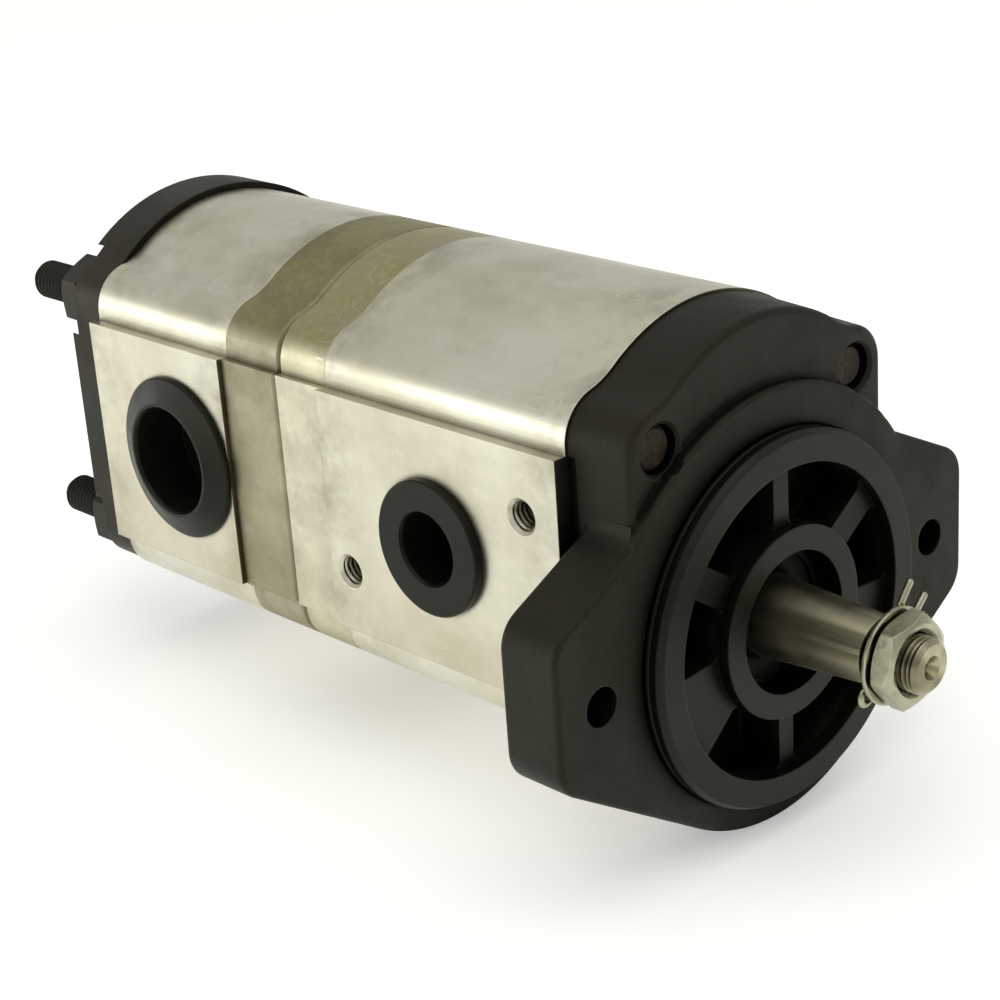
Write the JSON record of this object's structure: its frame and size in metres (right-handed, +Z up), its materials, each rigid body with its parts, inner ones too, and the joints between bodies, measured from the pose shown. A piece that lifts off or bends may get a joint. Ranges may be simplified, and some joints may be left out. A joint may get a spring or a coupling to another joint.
{
  "type": "hydraulic gear pump",
  "caption": "Tandem hydraulic gear pump: flanged front cover with pilot and tapered keyed shaft, two gear sections clamped by long tie studs.",
  "frame": {"origin": "drive shaft axis at the flange's mounting face", "axes": "+X along the drive shaft, out of the pump; +Z up, towards the driven gears; -Y is the side with the large ports"},
  "size_m": [0.2581, 0.1304, 0.1162],
  "materials": {
    "front_cover_iron": "satin black, fine casting texture, machined faces",
    "rear_cover_iron": "satin black, fine casting texture",
    "front_body_aluminium": "machined, lengthwise extrusion lines",
    "rear_body_aluminium": "machined, lengthwise extrusion lines",
    "front_plate_aluminium": "machined, slightly yellowed",
    "rear_plate_aluminium": "machined, dull",
    "block_aluminium": "machined",
    "bush_bronze": "bronze lining, satin",
    "shaft_steel": "ground steel",
    "gear_steel": "ground steel",
    "key_steel": "plain steel",
    "zinc_plated": "bright zinc plate",
    "stud_steel": "black, bare and rusty at the front ends",
    "stud_nut_black": "satin black",
    "dowel_steel": "ground steel",
    "spring_steel": "dark spring steel",
    "seal_rubber": "matt black rubber",
    "plug_plastic": "black plastic"
  },
  "bodies": {
    "housing": {"front_cover": "front_cover_iron", "pilot_o_ring": "seal_rubber", "shaft_seal": "seal_rubber", "seal_retaining_ring": "spring_steel", "front_body": "front_body_aluminium", "front_plate": "front_plate_aluminium", "rear_plate": "rear_plate_aluminium", "rear_body": "rear_body_aluminium", "rear_cover": "rear_cover_iron", "tie_stud_upper_port_side": "stud_steel", "stud_nut_upper_port_side": "stud_nut_black", "tie_stud_upper_far_side": "stud_steel", "stud_nut_upper_far_side": "stud_nut_black", "tie_stud_lower_port_side": "stud_steel", "stud_nut_lower_port_side": "stud_nut_black", "tie_stud_lower_far_side": "stud_steel", "stud_nut_lower_far_side": "stud_nut_black", "front_cover_seal": "seal_rubber", "front_body_rear_seal": "seal_rubber", "plate_joint_seal": "seal_rubber", "rear_body_front_seal": "seal_rubber", "rear_cover_seal": "seal_rubber", "dowels_front_cover": "dowel_steel", "dowels_front_body": "dowel_steel", "dowels_plates": "dowel_steel", "dowels_rear_body": "dowel_steel", "dowels_rear_cover": "dowel_steel", "front_front_bearing_block": "block_aluminium", "front_front_drive_bush": "bush_bronze", "front_front_driven_bush": "bush_bronze", "front_front_balance_seal": "seal_rubber", "front_rear_bearing_block": "block_aluminium", "front_rear_drive_bush": "bush_bronze", "front_rear_driven_bush": "bush_bronze", "front_rear_balance_seal": "seal_rubber", "rear_front_bearing_block": "block_aluminium", "rear_front_drive_bush": "bush_bronze", "rear_front_driven_bush": "bush_bronze", "rear_front_balance_seal": "seal_rubber", "rear_rear_bearing_block": "block_aluminium", "rear_rear_drive_bush": "bush_bronze", "rear_rear_driven_bush": "bush_bronze", "rear_rear_balance_seal": "seal_rubber"},
    "drive_shaft": {"front_drive_gear": "shaft_steel", "shaft_key": "key_steel", "shaft_washer": "zinc_plated", "shaft_nut": "zinc_plated", "split_pin": "zinc_plated", "coupling_sleeve": "gear_steel"},
    "rear_drive": {"rear_drive_gear": "gear_steel"},
    "front_driven": {"front_driven_gear": "gear_steel"},
    "rear_driven": {"rear_driven_gear": "gear_steel"},
    "front_inlet_plug": {"front_inlet_plug": "plug_plastic"},
    "rear_inlet_plug": {"rear_inlet_plug": "plug_plastic"},
    "front_outlet_plug": {"front_outlet_plug": "plug_plastic"},
    "rear_outlet_plug": {"rear_outlet_plug": "plug_plastic"}
  },
  "joints": [
    {"name": "drive_spin", "type": "hinge", "parent": "housing", "child": "drive_shaft", "pos_m": [0, 0, 0], "axis": [1, 0, 0], "continuous": true},
    {"name": "rear_drive_spin", "type": "hinge", "parent": "housing", "child": "rear_drive", "pos_m": [-0.15, 0, 0], "axis": [1, 0, 0], "continuous": true},
    {"name": "front_driven_spin", "type": "hinge", "parent": "housing", "child": "front_driven", "pos_m": [-0.055, 0, 0.0324], "axis": [1, 0, 0], "continuous": true},
    {"name": "rear_driven_spin", "type": "hinge", "parent": "housing", "child": "rear_driven", "pos_m": [-0.153, 0, 0.0324], "axis": [1, 0, 0], "continuous": true},
    {"name": "front_inlet_plug_slide", "type": "slide", "parent": "housing", "child": "front_inlet_plug", "axis": [0, -1, 0], "range_m": [0, 0.03]},
    {"name": "rear_inlet_plug_slide", "type": "slide", "parent": "housing", "child": "rear_inlet_plug", "axis": [0, -1, 0], "range_m": [0, 0.03]},
    {"name": "front_outlet_plug_slide", "type": "slide", "parent": "housing", "child": "front_outlet_plug", "axis": [0, 1, 0], "range_m": [0, 0.03]},
    {"name": "rear_outlet_plug_slide", "type": "slide", "parent": "housing", "child": "rear_outlet_plug", "axis": [0, 1, 0], "range_m": [0, 0.03]}
  ],
  "couplings": [
    {"joint": "rear_drive_spin", "follows": "drive_spin", "ratio": 1},
    {"joint": "front_driven_spin", "follows": "drive_spin", "ratio": -1},
    {"joint": "rear_driven_spin", "follows": "drive_spin", "ratio": -1}
  ]
}
